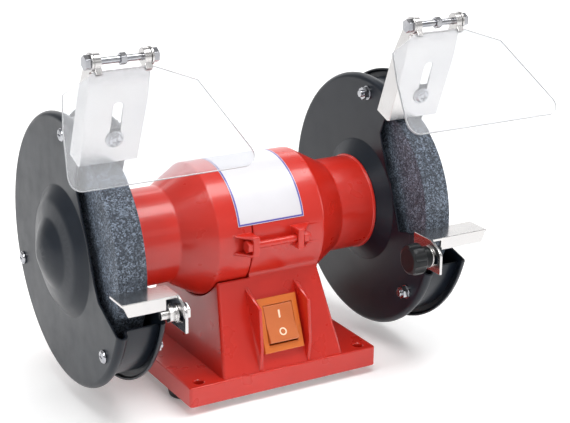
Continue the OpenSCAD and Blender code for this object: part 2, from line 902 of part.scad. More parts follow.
// Spring ring with three waves, between the left bearing and the bottom of its pocket
module wave_washer() color(zinc) {
    steps = 48;
    inner = bearing_r - ring_wall - 2;
    outer = bearing_r - clear;
    margin = 0.02;
    swing = (wave_h - wave_t) / 2 - margin;
    points = [
        for (i = [0:steps - 1], corner = [[inner, 0], [outer, 0], [outer, wave_t], [inner, wave_t]])
            let (a = i * 360 / steps)
                [
                    -pocket_end + margin + swing + corner[1] + swing * sin(3 * a),
                    corner[0] * cos(a),
                    shaft_z + corner[0] * sin(a)
                ]
    ];
    faces = [
        for (i = [0:steps - 1], k = [0:3])
            let (j = (i + 1) % steps, n = (k + 1) % 4)
                [4 * i + k, 4 * j + k, 4 * j + n, 4 * i + n]
    ];
    polyhedron(points, faces);
}

// ---------------------------------------------------------------- wheels

module wheel(x) {
    ring_along_x(x, 0, shaft_z, wheel_d, wheel_t, arbor_d + 2 * running);
}

module left_wheel() color(abrasive) wheel(-wheel_x - wheel_t);
module right_wheel() color(abrasive) wheel(wheel_x);

// Flange whose rim alone bears on the wheel; side tells where the wheel is
module clamp_flange(face_x, t, side) {
    far = face_x - side * t;
    step = far + side * (t - 2);
    bed = face_x - side * clamp_relief;
    revolved([
        [arbor_d / 2 + running, far], [clamp_d / 4 + 0.5, far], [clamp_d / 2 - 1.5, step],
        [clamp_d / 2, step], [clamp_d / 2, face_x], [clamp_d / 2 - clamp_rim, face_x],
        [clamp_d / 2 - clamp_rim, bed], [arbor_d / 2 + running, bed]
    ]);
}

module left_inner_flange() color(zinc) clamp_flange(-wheel_x, wheel_x - arbor_start, -1);
module right_inner_flange() color(zinc) clamp_flange(wheel_x, wheel_x - arbor_start, 1);
module left_outer_flange() color(zinc) clamp_flange(-wheel_x - wheel_t, clamp_t, 1);
module right_outer_flange() color(zinc) clamp_flange(wheel_x + wheel_t, clamp_t, -1);

module arbor_nut(x) hex_along_x(x, 0, shaft_z, nut_flats, nut_t, arbor_d + 2 * running);
module left_arbor_nut() color(zinc) arbor_nut(-wheel_x - wheel_t - clamp_t - nut_t);
module right_arbor_nut() color(zinc) arbor_nut(wheel_x + wheel_t + clamp_t);

// ---------------------------------------------------------------- guards

// Bulge profiles as [radius, height], negative heights stand out of the disc's outer face
function boss_skin() = [for (p = boss_dome) [p[0], -p[1]]];
function hub_skin(depth) = [[hub_hole_r, -depth], [hub_high_r, -depth], [hub_low_r, 0]];
function lining(skin) = [
    for (p = skin)
        [p[0] > skin[0][0] ? p[0] - guard_sheet / 2 : p[0], p[1] + guard_sheet]
];

function cup_profile(skin) = concat(
    skin,
    arc(guard_r - rim_round, rim_round, rim_round, -90, 90, 10),
    [
        [band_r + 0.9, 2 * rim_round], [band_r, 2 * rim_round + 1], [band_r, band_end],
        [band_r - guard_sheet, band_end], [band_r - guard_sheet, 2 * rim_round - 0.4],
        [band_r, 2 * rim_round - guard_sheet]
    ],
    arc(guard_r - rim_round, rim_round, rim_round - guard_sheet, 90, -90, 10),
    reversed(lining(skin))
);

function plate_profile(skin) = concat(
    skin,
    arc(guard_r - lip_round, lip_round, lip_round, -90, 0, 8),
    [[guard_r, lip_depth], [guard_r - guard_sheet, lip_depth]],
    arc(guard_r - lip_round, lip_round, lip_round - guard_sheet, 0, -90, 8),
    reversed(lining(skin))
);

function placed(profile, x, side) = [for (p = profile) [p[0], x + side * p[1]]];

// Places children on a bracket's face: z up along it, -y out to the front
module on_bracket_face() {
    translate([0, bend_y, bend_z])
        rotate([bracket_lean, 0, 0])
            children();
}

// Point in [y, z] at a distance down a bracket's face and a distance behind it
function on_face(s, n) = [
    bend_y + s * sin(bracket_lean) + n * cos(bracket_lean),
    bend_z - s * cos(bracket_lean) + n * sin(bracket_lean)
];

// Everything in front of the mouth's edge
module mouth(x, l, low_angle) {
    behind = bracket_sheet + slide_gap;
    corner = ring_point(guard_r + 20, -low_angle);
    slab(x, l, concat(
        [on_face(-10, behind), on_face(tab_foot - 1, behind)],
        [for (p = mouth_edge) ring_point(p[1] * band_r, p[0])],
        [corner, [-mouth_far, corner[1]], [-mouth_far, shaft_z + mouth_far]]
    ));
}

module guard_holes(x, l) {
    for (a = guard_screw_angles)
        let (p = ring_point(screw_ring, a))
            bar(x, p[0], p[1], guard_screw_d + 2 * hole_clear, l);
}

// Tab that the shield bracket is screwed to, standing out of the band's upper end
module shield_tab(x) {
    on_bracket_face()
        translate([x + bracket_screw_x - tab_half, bracket_sheet + slide_gap, -tab_foot])
            difference() {
                cube([tab_w, tab_t, tab_foot - tab_top]);
                translate([tab_half, -cut, tab_foot - bracket_screw_s])
                    rotate([-90, 0, 0])
    cylinder(d = tab_hole, h = tab_t + 2 * cut, $fn = fine);
            }
}

module cup(face_x, skin) {
    difference() {
        revolved(placed(cup_profile(skin), face_x, 1));
        mouth(face_x - boss_h - cut, guard_w + boss_h + cut, cup_mouth);
        guard_holes(face_x - cut, guard_sheet + 2 * cut);
    }
    shield_tab(face_x - left_cup_x);
}

module lipped_plate(face_x, skin) {
    difference() {
        revolved(placed(plate_profile(skin), face_x, -1));
        mouth(face_x - lip_depth - cut, guard_w, plate_mouth);
        guard_holes(face_x - guard_sheet - cut, guard_sheet + 2 * cut);
    }
}

module hub_holes(x) {
    for (a = mount_angles)
        let (p = ring_point(mount_ring, a))
            bar(x, p[0], p[1], mount_screw_d + 2 * hole_clear, guard_sheet + 2 * cut);
}

module rest_hole(x, z, l) {
    bar(x, rest_bolt_y, z, rest_bolt_d + 2 * hole_clear, l);
}

// Ear beside the leg of a tool rest, stepped out of the guard's motor-side disc
module rest_ear(x, t, table_z, disc_x, disc_t) {
    z = table_z - rest_bolt_drop;
    low = z - ear_h / 2;
    low_x = min(x, disc_x);
    high_x = max(x + t, disc_x + disc_t);
    difference() {
        union() {
            slab(x, t, [
                [ear_back, low - 6], [ear_front + 4, low], [ear_front, low + 4],
                [ear_front, low + ear_h], [ear_back, low + ear_h]
            ]);
            slab(low_x, high_x - low_x, [
                [ear_back + ear_t, low - 6.6], [ear_back, low - 6], [ear_back, low + ear_h],
                [ear_back + ear_t, low + ear_h]
            ]);
            slab(disc_x, disc_t, [
                [ear_back + ear_root, low - 16], [ear_back, low - 6], [ear_back, low + ear_h],
                [ear_back + ear_root, low + ear_h - 6]
            ]);
        }
        rest_hole(x - cut, z, t + 2 * cut);
    }
}

module left_outer_cover() color(black) {
    cup(left_cup_x, boss_skin());
}

module left_inner_guard() color(black) {
    difference() {
        lipped_plate(left_plate_x, hub_skin(left_hub_depth));
        hub_holes(-neck_end - guard_sheet - cut);
    }
    rest_ear(-leg_x + slide_gap, ear_t, left_table_z, left_plate_x - guard_sheet, guard_sheet);
}

module right_outer_cover() color(black) {
    lipped_plate(right_plate_x, boss_skin());
}

module right_inner_guard() color(black) {
    difference() {
        cup(right_cup_x, hub_skin(right_hub_depth));
        hub_holes(neck_end - cut);
    }
    ear_x = leg_x + rest_sheet + slide_gap;
    rest_ear(ear_x, right_cup_x + guard_sheet - ear_x, right_table_z, right_cup_x, guard_sheet);
}

// ---------------------------------------------------------------- guard fasteners

// Pan head whose flat side is at x and whose dome points along side
module pan_head(x, y, z, r, h, side) {
    translate([x, y, z])
        rotate([0, side * 90, 0])
            difference() {
                rotate_extrude($fn = smooth)
                    polygon([[0, 0], [r, 0], [r, h * 0.45], [r * 0.8, h * 0.85], [r * 0.45, h], [0, h]]);
                for (turn = [0, 90])
                    rotate([0, 0, turn])
                        translate([-r * 0.5, -0.4, h - 1.2])
                            cube([r, 0.8, 2]);
            }
}

// Screws across a guard: the heads at head_x, the nuts outside nut_x; side points from the nut to the head
module guard_screws(head_x, nut_x, side) {
    tail_x = nut_x - side * (guard_washer_t + guard_nut_t + guard_tail);
    for (a = guard_screw_angles) {
        p = ring_point(screw_ring, a);
        bar(min(head_x, tail_x), p[0], p[1], guard_screw_d, abs(head_x - tail_x), fine);
        pan_head(head_x, p[0], p[1], guard_head_r, guard_head_h, side);
    }
}

module guard_nuts(nut_x, side) {
    bore = guard_screw_d + 2 * running;
    for (a = guard_screw_angles) {
        p = ring_point(screw_ring, a);
        washer_x = nut_x - (side > 0 ? guard_washer_t : 0);
        nut_low_x = side > 0 ? washer_x - guard_nut_t : nut_x + guard_washer_t;
        ring_along_x(washer_x, p[0], p[1], guard_washer_d, guard_washer_t, bore);
        hex_along_x(nut_low_x, p[0], p[1], guard_nut_flats, guard_nut_t, bore);
    }
}

module left_guard_screws() color(zinc) guard_screws(left_cup_x, left_plate_x, -1);
module right_guard_screws() color(zinc) guard_screws(right_plate_x, right_cup_x, 1);
module left_guard_nuts() color(zinc) guard_nuts(left_plate_x, -1);
module right_guard_nuts() color(zinc) guard_nuts(right_cup_x, 1);

module mount_screws(side) {
    head_x = side * (neck_end + guard_sheet);
    for (a = mount_angles) {
        p = ring_point(mount_ring, a);
        pan_head(head_x, p[0], p[1], mount_head_r, mount_head_h, side);
        bar(
            side > 0 ? neck_end - end_wall : head_x, p[0], p[1], mount_screw_d, end_wall + guard_sheet, fine
        );
    }
}

module left_mount_screws() color(zinc) mount_screws(-1);
module right_mount_screws() color(zinc) mount_screws(1);

// ---------------------------------------------------------------- tool rests

function leg_outline(table_z) = [
    [-table_back, table_z], [-table_front, table_z], [-leg_reach + 3.2, table_z - 4.6],
    [-leg_reach + 1, table_z - 6.4], [-leg_reach, table_z - 9], [-leg_reach, table_z - leg_h],
    [-table_back - 1, table_z - leg_h], [-table_back, table_z - leg_h + 1]
];

// Rest with its leg from x and its table reaching towards side
module tool_rest(x, table_z, table_l, side) {
    slot_z = table_z - rest_bolt_drop;
    slot_r = rest_bolt_d / 2 + hole_clear;
    table_x = side > 0 ? x : x + rest_sheet - table_l;
    lip_l = table_l - lip_start;
    difference() {
        union() {
            slab(x, rest_sheet, leg_outline(table_z));
            translate([table_x, -table_front, table_z - rest_sheet])
                cube([table_l, table_d, rest_sheet]);
            translate([side > 0 ? x + lip_start : x + rest_sheet - lip_start, -table_front, table_z])
                rotate([-90, 0, 0])
                    linear_extrude(rest_sheet)
                        polygon([
                            [0, 0], [side * lip_l, 0], [side * (lip_l - lip_chamfer), lip_h], [0, lip_h]
                        ]);
        }
        hull()
            for (y = [rest_bolt_y - rest_travel - slot_in, rest_bolt_y + rest_travel + slot_in])
                bar(x - cut, y, slot_z, 2 * slot_r, rest_sheet + 2 * cut, fine);
    }
}

module left_tool_rest() color(zinc) tool_rest(-leg_x - rest_sheet, left_table_z, left_table_l, -1);
module right_tool_rest() color(zinc) tool_rest(leg_x, right_table_z, right_table_l, 1);

module left_rest_bolt() color(zinc) {
    z = left_table_z - rest_bolt_drop;
    ear_x = -leg_x + slide_gap + ear_t;
    end_x = -leg_x - rest_sheet - rest_bolt_out;
    hex_along_x(ear_x, rest_bolt_y, z, rest_bolt_flats, rest_bolt_head);
    bar(end_x, rest_bolt_y, z, rest_bolt_d, ear_x - end_x, fine);
}

module left_rest_nut() color(zinc) {
    z = left_table_z - rest_bolt_drop;
    bore = rest_bolt_d + 2 * running;
    washer_x = -leg_x - rest_sheet - slide_gap - rest_washer_t;
    spring_x = washer_x - spring_washer_t;
    ring_along_x(washer_x, rest_bolt_y, z, 2 * rest_washer_r, rest_washer_t, bore);
    ring_along_x(spring_x, rest_bolt_y, z, spring_washer_d, spring_washer_t, bore);
    hex_along_x(spring_x - rest_nut_t, rest_bolt_y, z, rest_bolt_flats, rest_nut_t, bore);
}

module right_rest_bolt() color(zinc) {
    z = right_table_z - rest_bolt_drop;
    head_x = right_cup_x + guard_sheet;
    washer_x = leg_x - slide_gap - rest_washer_t;
    end_x = washer_x - clear - knob_thread + cut;
    r = carriage_head_r;
    bar(end_x, rest_bolt_y, z, rest_bolt_d, head_x - end_x + cut, fine);
    translate([head_x, rest_bolt_y, z])
        rotate([0, 90, 0])
            rotate_extrude($fn = smooth)
                polygon([[0, 0], [r, 0], [r * 0.86, 1.4], [r * 0.55, 2.4], [r * 0.2, 2.7], [0, 2.7]]);
    ring_along_x(
        washer_x, rest_bolt_y, z, 2 * knob_washer_r, rest_washer_t, rest_bolt_d + 2 * running
    );
}

// Lobed knob with a round hub, screwed on the rest's bolt
module right_rest_knob() color(dark_rubber) {
    z = right_table_z - rest_bolt_drop;
    hub_x = leg_x - slide_gap - rest_washer_t - clear;
    tip_x = hub_x - knob_l;
    scoop_r = knob_r + 2.4;
    difference() {
        union() {
            bar(tip_x + knob_grip - cut, rest_bolt_y, z, knob_hub_d, knob_l - knob_grip + cut);
            difference() {
                translate([tip_x, rest_bolt_y, z])
                    rotate([0, 90, 0])
                        rotate_extrude()
                            polygon([
                                [0, 0], [knob_r - 3, 0], [knob_r - 0.8, 1.4], [knob_r, 3.5],
                                [knob_r, knob_grip - 1.5], [knob_r - 1, knob_grip], [0, knob_grip]
                            ]);
                for (i = [0:knob_lobes - 1])
                    let (a = i * 360 / knob_lobes)
                        bar(
                            tip_x - cut, rest_bolt_y + scoop_r * cos(a), z + scoop_r * sin(a),
                            2 * knob_scoop_r, knob_grip + 2 * cut
                        );
            }
        }
        bar(hub_x - knob_thread, rest_bolt_y, z, rest_bolt_d + 2 * running, knob_thread + cut);
    }
}

// ---------------------------------------------------------------- shield brackets

function around_hinge(angle) =
    [-hinge_y, hinge_z] + (hinge_ear_r - 2 * tight) * [cos(angle), sin(angle)];

// Side of a bracket: an eye round the hinge over a flat outline
module bracket_side(x, outline) {
    slab(x, bracket_sheet, concat(
        [around_hinge(35), around_hinge(190), plate_top, on_face(0, 0)],
        [for (p = outline) on_face(p[0], p[1])]
    ));
    bar(x, -hinge_y, hinge_z, 2 * hinge_ear_r, bracket_sheet);
}

// Bracket drawn for the left guard
module shield_bracket() {
    width = bracket_right - bracket_left;
    slot_low = bracket_screw_s + bracket_out;
    difference() {
        union() {
            slab(bracket_left, width, [
                plate_top, on_face(0, 0), on_face(bracket_l, 0), on_face(bracket_l, bracket_sheet),
                on_face(0, bracket_sheet), plate_top + on_face(0, bracket_sheet) - on_face(0, 0)
            ]);
            // long flange at the left, short ear at the right
            bracket_side(bracket_left, flange_outline);
            bracket_side(bracket_right - bracket_sheet, ear_outline);
        }
        bar(bracket_left - cut, -hinge_y, hinge_z, hinge_d + 2 * running, width + 2 * cut);
        on_bracket_face()
            translate([0, bracket_sheet + cut, 0])
                rotate([90, 0, 0])
                    linear_extrude(bracket_sheet + 2 * cut)
                        polygon([
                            [bracket_right, -taper_from], [bracket_right + cut, -taper_from],
                            [bracket_right + cut, -bracket_l - cut],
                            [bracket_right - bracket_taper, -bracket_l - cut]
                        ]);
        on_bracket_face()
            hull()
                for (s = [slot_top + bracket_slot / 2, slot_low])
                    translate([bracket_screw_x, -cut, -s])
                        rotate([-90, 0, 0])
                            cylinder(d = bracket_slot, h = bracket_sheet + 2 * cut, $fn = fine);
    }
}

module bracket_screw() {
    nut_y = bracket_sheet + slide_gap + tab_t;
    on_bracket_face()
        translate([bracket_screw_x, 0, -bracket_screw_s])
            rotate([90, 0, 0]) {
                translate([0, 0, slide_gap])
                    cylinder(r = bracket_washer_r, h = 1, $fn = smooth);
                translate([0, 0, slide_gap + 1])
                    difference() {
                        rotate_extrude($fn = smooth)
                            polygon([[0, 0], [4.6, 0], [4.6, 1.4], [3.6, 2.6], [1, 3], [0, 3]]);
                        for (turn = [0, 90])
                            rotate([0, 0, turn])
                                translate([-2.6, -0.5, 1.4])
                                    cube([5.2, 1, 3]);
                    }
                translate([0, 0, -nut_y - bracket_nut_t - 2])
                    cylinder(d = bracket_screw_d, h = nut_y + bracket_nut_t + 2.5, $fn = fine);
                translate([0, 0, -nut_y - bracket_nut_t])
                    cylinder(d = bracket_nut_flats / cos(30), h = bracket_nut_t, $fn = 6);
            }
}

module hinge_bolt() {
    hex_along_x(bracket_left - hinge_head_t, -hinge_y, hinge_z, hinge_flats, hinge_head_t);
    bar(
        bracket_left - cut, -hinge_y, hinge_z, hinge_d,
        bracket_right - bracket_left + hinge_nut_t + hinge_tail + cut, fine
    );
}

module hinge_nuts() {
    bore = hinge_d + 2 * running;
    hex_along_x(bracket_right, -hinge_y, hinge_z, hinge_flats, hinge_nut_t, bore);
    hex_along_x(collar_x, -hinge_y, hinge_z, collar_flats, collar_w, bore);
}

// Places children hanging from the hinge line, z up along the shield
module on_shield(tilt) {
    translate([0, -hinge_y, hinge_z])
        rotate([-tilt, 0, 0])
            children();
}

module shield_clips(tilt) {
    wide = shield_t + 2 * clip_leaf;
    on_shield(tilt)
        for (x = [clip_left, clip_right])
            difference() {
                union() {
                    bar(x, 0, 0, 2 * clip_r, clip_w);
                    translate([x, -wide / 2, -clip_l])
                        cube([clip_w, wide, clip_l]);
                }
                bar(x - cut, 0, 0, hinge_d + 2 * running, clip_w + 2 * cut);
                translate([x - cut, -shield_t / 2, -clip_l - cut])
                    cube([clip_w + 2 * cut, shield_t, clip_l - shield_neck + cut]);
            }
}

module eye_shield(tilt) {
    top = -shield_neck - 2 * tight;
    r = shield_corner;
    low = -shield_l + r;
    left_x = shield_left[2][0] + r;
    right_x = shield_right[0][0] - r;
    outline = concat(
        [[clip_left - bracket_middle, top]],
        shield_left,
        arc(left_x, low, r, 180, 270, 6),
        arc(right_x + 0.8, low, r, -90, 5, 6),
        shield_right,
        [[clip_right + clip_w - bracket_middle, top]]
    );
    on_shield(tilt)
        translate([bracket_middle, shield_t / 2, 0])
            rotate([90, 0, 0])
                linear_extrude(shield_t)
                    polygon(outline);
}

module left_shield_bracket() color(zinc) shield_bracket();
module left_bracket_screw() color(zinc) bracket_screw();
module left_hinge_bolt() color(zinc) hinge_bolt();
module left_hinge_nuts() color(zinc) hinge_nuts();
module left_shield_clips() color(zinc) shield_clips(left_tilt);
module left_eye_shield() color(clear_plastic) eye_shield(left_tilt);

module on_right_guard() {
    translate([guard_pitch, 0, 0])
        children();
}

module right_shield_bracket() color(zinc) on_right_guard() shield_bracket();
module right_bracket_screw() color(zinc) on_right_guard() bracket_screw();
module right_hinge_bolt() color(zinc) on_right_guard() hinge_bolt();
module right_hinge_nuts() color(zinc) on_right_guard() hinge_nuts();
module right_shield_clips() color(zinc) on_right_guard() shield_clips(right_tilt);
module right_eye_shield() color(clear_plastic) on_right_guard() eye_shield(right_tilt);

base_casting();
left_end_bell();
tie_bolts();
rating_label();
base_cover_plate();
rubber_feet();
foot_screws();
switch_bezel();
switch_rocker();
capacitor();
capacitor_clip();
terminal_block();
cord_gland();
stator_core();
stator_windings();
rotor_core();
rotor_shaft();
left_bearing();
right_bearing();
wave_washer();
left_outer_cover();
left_inner_guard();
right_outer_cover();
right_inner_guard();
left_guard_screws();
right_guard_screws();
left_guard_nuts();
right_guard_nuts();
left_mount_screws();
right_mount_screws();
left_inner_flange();
right_inner_flange();
left_outer_flange();
right_outer_flange();
left_wheel();
right_wheel();
left_arbor_nut();
right_arbor_nut();
left_tool_rest();
right_tool_rest();
left_rest_bolt();
right_rest_bolt();
left_rest_nut();
right_rest_knob();
left_shield_bracket();
right_shield_bracket();
left_bracket_screw();
right_bracket_screw();
left_hinge_bolt();
right_hinge_bolt();
left_hinge_nuts();
right_hinge_nuts();
left_shield_clips();
right_shield_clips();
left_eye_shield();
right_eye_shield();
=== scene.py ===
import bpy, bmesh, json, math
from mathutils import Matrix, Vector


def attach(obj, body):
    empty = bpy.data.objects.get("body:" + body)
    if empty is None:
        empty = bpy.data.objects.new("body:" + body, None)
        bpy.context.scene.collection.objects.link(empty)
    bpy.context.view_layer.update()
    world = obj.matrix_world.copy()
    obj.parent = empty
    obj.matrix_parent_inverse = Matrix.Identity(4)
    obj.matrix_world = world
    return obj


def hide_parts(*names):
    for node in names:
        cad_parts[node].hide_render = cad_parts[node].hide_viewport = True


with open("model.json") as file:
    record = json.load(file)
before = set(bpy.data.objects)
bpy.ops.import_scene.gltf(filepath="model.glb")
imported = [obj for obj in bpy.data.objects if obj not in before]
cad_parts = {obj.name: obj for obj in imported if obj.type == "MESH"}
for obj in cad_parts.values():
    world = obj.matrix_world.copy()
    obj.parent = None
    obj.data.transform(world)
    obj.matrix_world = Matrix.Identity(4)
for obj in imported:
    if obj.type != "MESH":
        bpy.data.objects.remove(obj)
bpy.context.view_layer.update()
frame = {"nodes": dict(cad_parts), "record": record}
nodes = frame["nodes"]
record = frame["record"]
bodyOf = {node: body for body, held in record["behaviour"]["bodies"].items() for node in held}
print("frame loaded")

mm = 0.001
scene = bpy.context.scene

# ---- camera
cameraView = {
    "place": (-0.47243, -0.88171, 0.45015), "target": (0.0361, 0.0, 0.10861), "lens": 94.36,
    "sensor": 36, "roll": 0.37, "near": 0.05, "far": 20,
}

cameraData = bpy.data.cameras.new("camera")
cameraData.lens = cameraView["lens"]
cameraData.sensor_width = cameraView["sensor"]
cameraData.clip_start = cameraView["near"]
cameraData.clip_end = cameraView["far"]
camera = bpy.data.objects.new("camera", cameraData)
scene.collection.objects.link(camera)
camera.location = cameraView["place"]
aim = Vector(cameraView["target"]) - Vector(cameraView["place"])
roll = Matrix.Rotation(math.radians(cameraView["roll"]), 4, "Z").to_quaternion()
camera.rotation_mode = "QUATERNION"
camera.rotation_quaternion = aim.to_track_quat("-Z", "Y") @ roll
scene.camera = camera
print("camera placed")

# ---- light: a dim white room with wide lamps overhead, in front, on each side and behind
skyStrength = 0.42

# Each lamp's place, the point that it faces, its width and height, and its power
lamps = {
    "topLamp": ((0.1, -0.35, 1.3), (0, 0, 0.1), (1.6, 0.5), 17),
    "leftLamp": ((-1.3, -0.3, 0.9), (0, 0, 0.12), (0.7, 0.7), 7),
    "rightLamp": ((1.3, -0.8, 0.6), (0, 0, 0.12), (0.5, 0.9), 4),
    "frontLamp": ((0.2, -1.8, 0.9), (0, 0, 0.12), (1.2, 0.5), 1.5),
    "floorLamp": ((0.4, 1.6, 1.5), (0.4, 2.2, 0), (2.6, 1.2), 22),
    "paleWall": ((1.2, 2.4, 0.8), (0, 0, 0.2), (4.0, 1.6), 17),
}

world = bpy.data.worlds.new("studio")
scene.world = world
world.use_nodes = True
world.node_tree.nodes["Background"].inputs["Color"].default_value = (1, 1, 1, 1)
world.node_tree.nodes["Background"].inputs["Strength"].default_value = skyStrength
scene.view_settings.view_transform = "Standard"

for name, (place, target, size, power) in lamps.items():
    lampData = bpy.data.lights.new(name, "AREA")
    lampData.shape = "RECTANGLE"
    lampData.size, lampData.size_y = size
    lampData.energy = power
    lamp = bpy.data.objects.new(name, lampData)
    scene.collection.objects.link(lamp)
    lamp.location = place
    lamp.rotation_mode = "QUATERNION"
    lamp.rotation_quaternion = (Vector(target) - Vector(place)).to_track_quat("-Z", "Y")
print("lamps placed")


# ---- material helpers
def newMaterial(name):
    material = bpy.data.materials.new(name)
    material.use_nodes = True
    return material, material.node_tree, material.node_tree.nodes["Principled BSDF"]


def setInputs(node, values):
    for socket, value in values.items():
        node.inputs[socket].default_value = value


def objectPattern(tree, kind, scale, stretch=None, **values):
    coords = tree.nodes.get("coords") or tree.nodes.new("ShaderNodeTexCoord")
    coords.name = "coords"
    pattern = tree.nodes.new(kind)
    setInputs(pattern, {"Scale": scale, **values})
    source = coords.outputs["Object"]
    if stretch:
        mapping = tree.nodes.new("ShaderNodeMapping")
        mapping.inputs["Scale"].default_value = stretch
        tree.links.new(source, mapping.inputs["Vector"])
        source = mapping.outputs["Vector"]
    tree.links.new(source, pattern.inputs["Vector"])
    return pattern


def mapped(tree, output, low, high, fromLow=0.3, fromHigh=0.7):
    node = tree.nodes.new("ShaderNodeMapRange")
    setInputs(node, {"From Min": fromLow, "From Max": fromHigh, "To Min": low, "To Max": high})
    tree.links.new(output, node.inputs["Value"])
    return node.outputs["Result"]


# The colour sockets of a mix node share their names, so they are taken by number
def blended(tree, factor, first, second):
    node = tree.nodes.new("ShaderNodeMix")
    node.data_type = "RGBA"
    for socket, colour in ((node.inputs[6], first), (node.inputs[7], second)):
        if isinstance(colour, tuple):
            socket.default_value = (*colour, 1)
        else:
            tree.links.new(colour, socket)
    tree.links.new(factor, node.inputs[0])
    return node.outputs[2]


def sums(tree, operation, *values):
    node = tree.nodes.new("ShaderNodeMath")
    node.operation = operation
    for socket, value in zip(node.inputs, values):
        if isinstance(value, (int, float)):
            socket.default_value = value
        else:
            tree.links.new(value, socket)
    return node.outputs[0]


def relief(tree, height, strength, distance, shader):
    bump = tree.nodes.new("ShaderNodeBump")
    setInputs(bump, {"Strength": strength, "Distance": distance})
    tree.links.new(height, bump.inputs["Height"])
    tree.links.new(bump.outputs["Normal"], shader.inputs["Normal"])


# The soft pattern of every finish, and how much finer the gloss varies than the tone
patternForm = {"toneDetail": 4, "toneRoughness": 0.6, "fineDetail": 3, "glossFiner": 2.7}


# One finish: two close colours in a soft pattern, uneven gloss and a fine relief
def finish(name, light, dark, metallic=0.0, gloss=(0.3, 0.4), tone=30, grain=900,
           grainStrength=0.1, grainDistance=0.0001, coat=0.0, coatRoughness=0.08, specular=0.5,
           stretch=None):
    material, tree, shader = newMaterial(name)
    setInputs(shader, {"Metallic": metallic, "Coat Weight": coat,
                       "Coat Roughness": coatRoughness, "Specular IOR Level": specular})
    tones = objectPattern(tree, "ShaderNodeTexNoise", tone, Detail=patternForm["toneDetail"],
                          Roughness=patternForm["toneRoughness"])
    colour = blended(tree, mapped(tree, tones.outputs["Fac"], 0, 1), light, dark)
    tree.links.new(colour, shader.inputs["Base Color"])
    uneven = objectPattern(tree, "ShaderNodeTexNoise", tone * patternForm["glossFiner"],
                           Detail=patternForm["fineDetail"])
    tree.links.new(mapped(tree, uneven.outputs["Fac"], *gloss), shader.inputs["Roughness"])
    fine = objectPattern(tree, "ShaderNodeTexNoise", grain, stretch,
                         Detail=patternForm["fineDetail"])
    relief(tree, fine.outputs["Fac"], grainStrength, grainDistance, shader)
    return material


redEnamel = finish("redEnamel", (0.58, 0.02, 0.01), (0.52, 0.016, 0.007), gloss=(0.26, 0.36),
                   tone=18, grain=300, grainStrength=0.06, grainDistance=0.0002, coat=0.3,
                   coatRoughness=0.1)
blackPaint = finish("blackPaint", (0.008, 0.012, 0.019), (0.005, 0.008, 0.014),
                    gloss=(0.28, 0.38), tone=25, grain=1500, grainStrength=0.15, specular=0.3)
zincPlate = finish("zincPlate", (0.64, 0.625, 0.615), (0.58, 0.57, 0.57), metallic=1,
                   gloss=(0.18, 0.27), tone=40, grain=1500, grainStrength=0.03,
                   stretch=(0.15, 1, 1))
boltZinc = finish("boltZinc", (0.5, 0.5, 0.52), (0.36, 0.37, 0.4), metallic=1,
                  gloss=(0.1, 0.2), tone=160, grain=2200, grainStrength=0.06)
brightSteel = finish("brightSteel", (0.72, 0.72, 0.73), (0.55, 0.55, 0.57), metallic=1,
                     gloss=(0.12, 0.24), tone=90, grain=2500, grainStrength=0.06)
coreSteel = finish("coreSteel", (0.3, 0.31, 0.33), (0.2, 0.2, 0.22), metallic=0.8,
                   gloss=(0.45, 0.6), tone=60, grain=2000)
copperWire = finish("copperWire", (0.55, 0.22, 0.07), (0.4, 0.13, 0.04), metallic=0.9,
                    gloss=(0.25, 0.4), tone=200, grainStrength=0.6, grainDistance=0.0004)
footRubber = finish("footRubber", (0.018, 0.018, 0.019), (0.01, 0.01, 0.011),
                    gloss=(0.6, 0.75), tone=40, grain=1600, grainStrength=0.3)
blackPlastic = finish("blackPlastic", (0.009, 0.01, 0.012), (0.006, 0.007, 0.008),
                      gloss=(0.32, 0.42), tone=40, grain=1300, grainStrength=0.15, specular=0.3)
whitePlastic = finish("whitePlastic", (0.8, 0.8, 0.78), (0.72, 0.72, 0.7), grain=1200)
ivoryPlastic = finish("ivoryPlastic", (0.75, 0.7, 0.52), (0.68, 0.62, 0.45),
                      gloss=(0.4, 0.5), grain=1200)
amberPlastic = finish("amberPlastic", (0.66, 0.17, 0.028), (0.6, 0.14, 0.02),
                      gloss=(0.15, 0.24), tone=25, grain=700, grainStrength=0.05, coat=0.3)
rockerPlastic = finish("rockerPlastic", (0.62, 0.175, 0.055), (0.54, 0.135, 0.035),
                       gloss=(0.1, 0.16), tone=25, grain=700, grainStrength=0.04, coat=0.4)
paleMark = finish("paleMark", (0.96, 0.78, 0.6), (0.9, 0.7, 0.5), tone=60)
# Flat grey for the clear shields' edge faces: painted shade in place of the thin lines seen along
# a clear sheet's edges
sawnEdge = finish("sawnEdge", (0.34, 0.35, 0.37), (0.28, 0.29, 0.31), gloss=(0.25, 0.4),
                  tone=60, grain=1200)

# Slightly milky polycarbonate: most of the light goes through and the rest is scattered
clearPlastic = finish("clearPlastic", (0.9, 0.91, 0.93), (0.87, 0.885, 0.91),
                      gloss=(0.02, 0.05), tone=14, grain=240, grainStrength=0.03)
setInputs(clearPlastic.node_tree.nodes["Principled BSDF"],
          {"Transmission Weight": 0.82, "IOR": 1.4})

gritLook = {
    "cells": 1150, "light": (0.28, 0.34, 0.43), "dark": (0.026, 0.034, 0.048), "specular": 0.6,
    "rarity": 2.2, "gloss": (0.35, 0.8), "fineScale": 2530, "fineDetail": 2,
    "fineTone": (0.4, 1.5), "cloudScale": 55, "cloudDetail": 5, "cloudRoughness": 0.65,
    "swirl": 2.5, "cloudTone": (0.4, 1.15), "cloudRange": (0.38, 0.56), "fineHeight": 0.6,
    "relief": 0.8, "depth": 0.0004,
}


